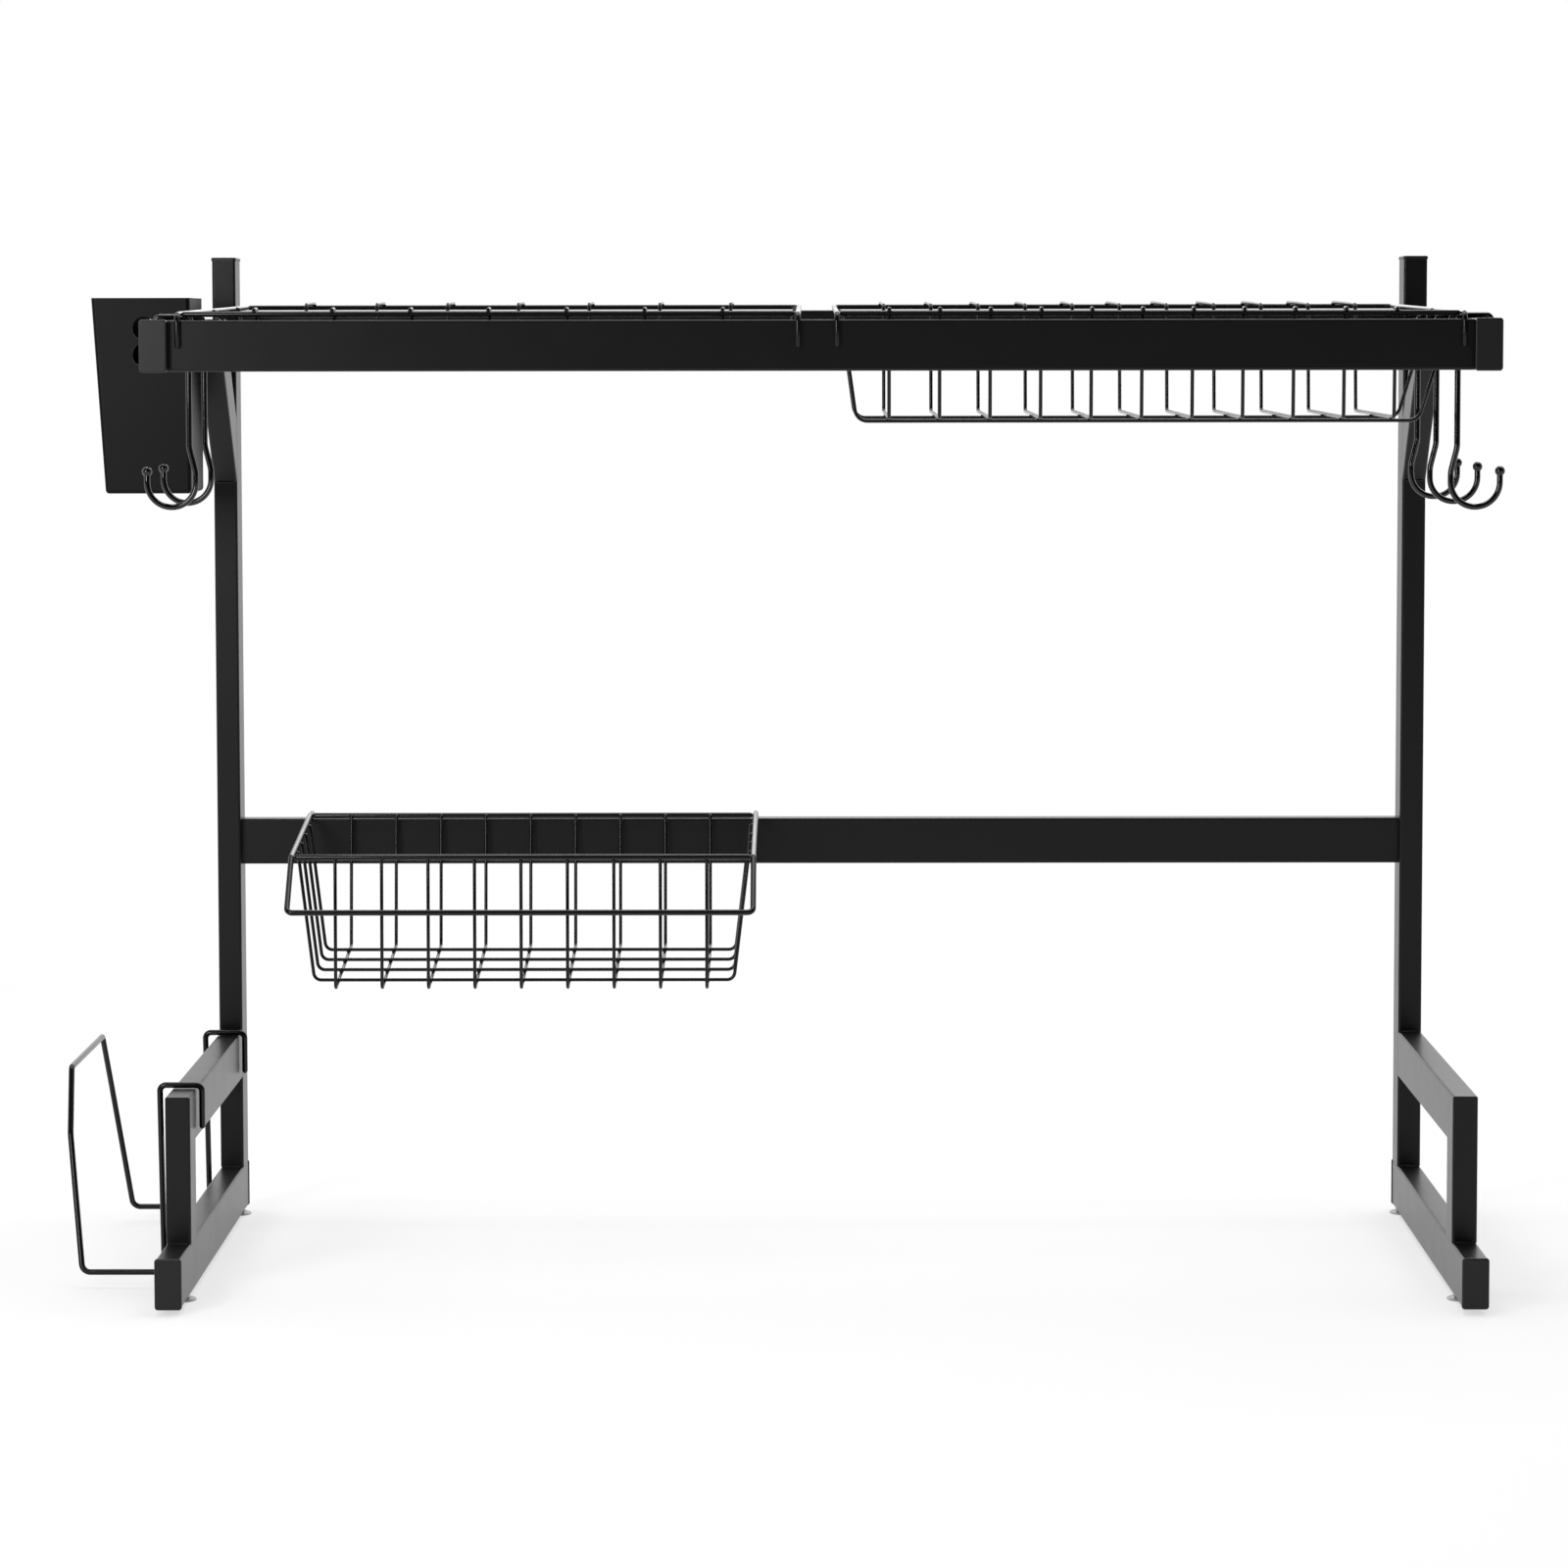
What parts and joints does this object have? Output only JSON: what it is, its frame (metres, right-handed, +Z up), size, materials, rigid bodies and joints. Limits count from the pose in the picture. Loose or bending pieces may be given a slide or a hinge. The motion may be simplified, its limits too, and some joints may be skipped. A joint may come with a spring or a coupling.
{
  "type": "dish drying rack",
  "caption": "Over-sink dish drying rack: coated tube frame with a plate rack, bowl basket, hanging basket, cutlery cup, board holder and sliding utensil hooks.",
  "frame": {"origin": "bottom centre of the whole rack's bounding box, on the worktop", "axes": "+X to the user's right along the rails, +Y away from the user, +Z up"},
  "size_m": [0.7167, 0.3476, 0.5184],
  "materials": {
    "coated_tube": "satin black powder coat",
    "coated_wire": "semi-gloss black coating",
    "coated_sheet": "satin black powder coat",
    "hook_coating": "glossy black dip coat",
    "cap_plastic": "moulded black plastic",
    "block_plastic": "moulded nylon",
    "suction_rubber": "translucent grey soft plastic",
    "screw_steel": "blackened steel"
  },
  "bodies": {
    "frame": {"crossbar": "coated_tube", "front_rail": "coated_tube", "left_arm_brace": "coated_tube", "left_arm_front_cap": "cap_plastic", "left_foot_front_cap": "cap_plastic", "left_foot_rear_cap": "cap_plastic", "left_foot_tube": "coated_tube", "left_front_suction_foot": "suction_rubber", "left_low_bar": "coated_tube", "left_low_upright": "coated_tube", "left_post_top_cap": "cap_plastic", "left_rear_post": "coated_tube", "left_rear_suction_foot": "suction_rubber", "left_top_arm": "coated_tube", "rail_screws": "screw_steel", "rail_thread_blocks": "block_plastic", "rear_rail": "coated_tube", "right_arm_brace": "coated_tube", "right_arm_front_cap": "cap_plastic", "right_foot_front_cap": "cap_plastic", "right_foot_rear_cap": "cap_plastic", "right_foot_tube": "coated_tube", "right_front_suction_foot": "suction_rubber", "right_low_bar": "coated_tube", "right_low_upright": "coated_tube", "right_post_top_cap": "cap_plastic", "right_rear_post": "coated_tube", "right_rear_suction_foot": "suction_rubber", "right_top_arm": "coated_tube"},
    "plate_rack": {"plate_rack_cross_wires": "coated_wire", "plate_rack_frame_wire": "coated_wire", "plate_rack_front_wire": "coated_wire", "plate_rack_long_wires": "coated_wire"},
    "bowl_basket": {"bowl_basket_cross_wires": "coated_wire", "bowl_basket_frame_wire": "coated_wire", "bowl_basket_front_wire": "coated_wire", "bowl_basket_long_wires": "coated_wire"},
    "hanging_basket": {"hanging_basket_cross_wires": "coated_wire", "hanging_basket_frame_wire": "coated_wire", "hanging_basket_front_rim": "coated_wire", "hanging_basket_long_wires": "coated_wire", "hanging_basket_rear_rim": "coated_wire"},
    "cutlery_holder": {"cutlery_cup": "coated_sheet", "cutlery_cup_front_strap": "coated_sheet", "cutlery_cup_rear_strap": "coated_sheet"},
    "board_holder": {"board_holder_wire": "coated_wire"},
    "s_hook_left_front_body": {"s_hook_left_front": "hook_coating"},
    "s_hook_left_rear_body": {"s_hook_left_rear": "hook_coating"},
    "s_hook_right_front_body": {"s_hook_right_front": "hook_coating"},
    "s_hook_right_middle_body": {"s_hook_right_middle": "hook_coating"},
    "s_hook_right_rear_body": {"s_hook_right_rear": "hook_coating"}
  },
  "joints": [
    {"name": "plate_rack_lift", "type": "slide", "parent": "frame", "child": "plate_rack", "axis": [0, 0, 1], "range_m": [0, 0.08]},
    {"name": "bowl_basket_lift", "type": "slide", "parent": "frame", "child": "bowl_basket", "axis": [0, 0, 1], "range_m": [0, 0.09]},
    {"name": "hanging_basket_slide", "type": "slide", "parent": "frame", "child": "hanging_basket", "axis": [1, 0, 0], "range_m": [-0.03, 0.34]},
    {"name": "cutlery_holder_lift", "type": "slide", "parent": "frame", "child": "cutlery_holder", "axis": [0, 0, 1], "range_m": [0, 0.13]},
    {"name": "board_holder_lift", "type": "slide", "parent": "frame", "child": "board_holder", "axis": [0, 0, 1], "range_m": [0, 0.13]},
    {"name": "left_front_hook_slide", "type": "slide", "parent": "frame", "child": "s_hook_left_front_body", "axis": [0, 1, 0], "range_m": [-0.055, 0.028]},
    {"name": "left_rear_hook_slide", "type": "slide", "parent": "frame", "child": "s_hook_left_rear_body", "axis": [0, 1, 0], "range_m": [-0.03, 0.058]},
    {"name": "right_front_hook_slide", "type": "slide", "parent": "frame", "child": "s_hook_right_front_body", "axis": [0, 1, 0], "range_m": [-0.034, 0.035]},
    {"name": "right_middle_hook_slide", "type": "slide", "parent": "frame", "child": "s_hook_right_middle_body", "axis": [0, 1, 0], "range_m": [-0.04, 0.035]},
    {"name": "right_rear_hook_slide", "type": "slide", "parent": "frame", "child": "s_hook_right_rear_body", "axis": [0, 1, 0], "range_m": [-0.038, 0.055]}
  ]
}
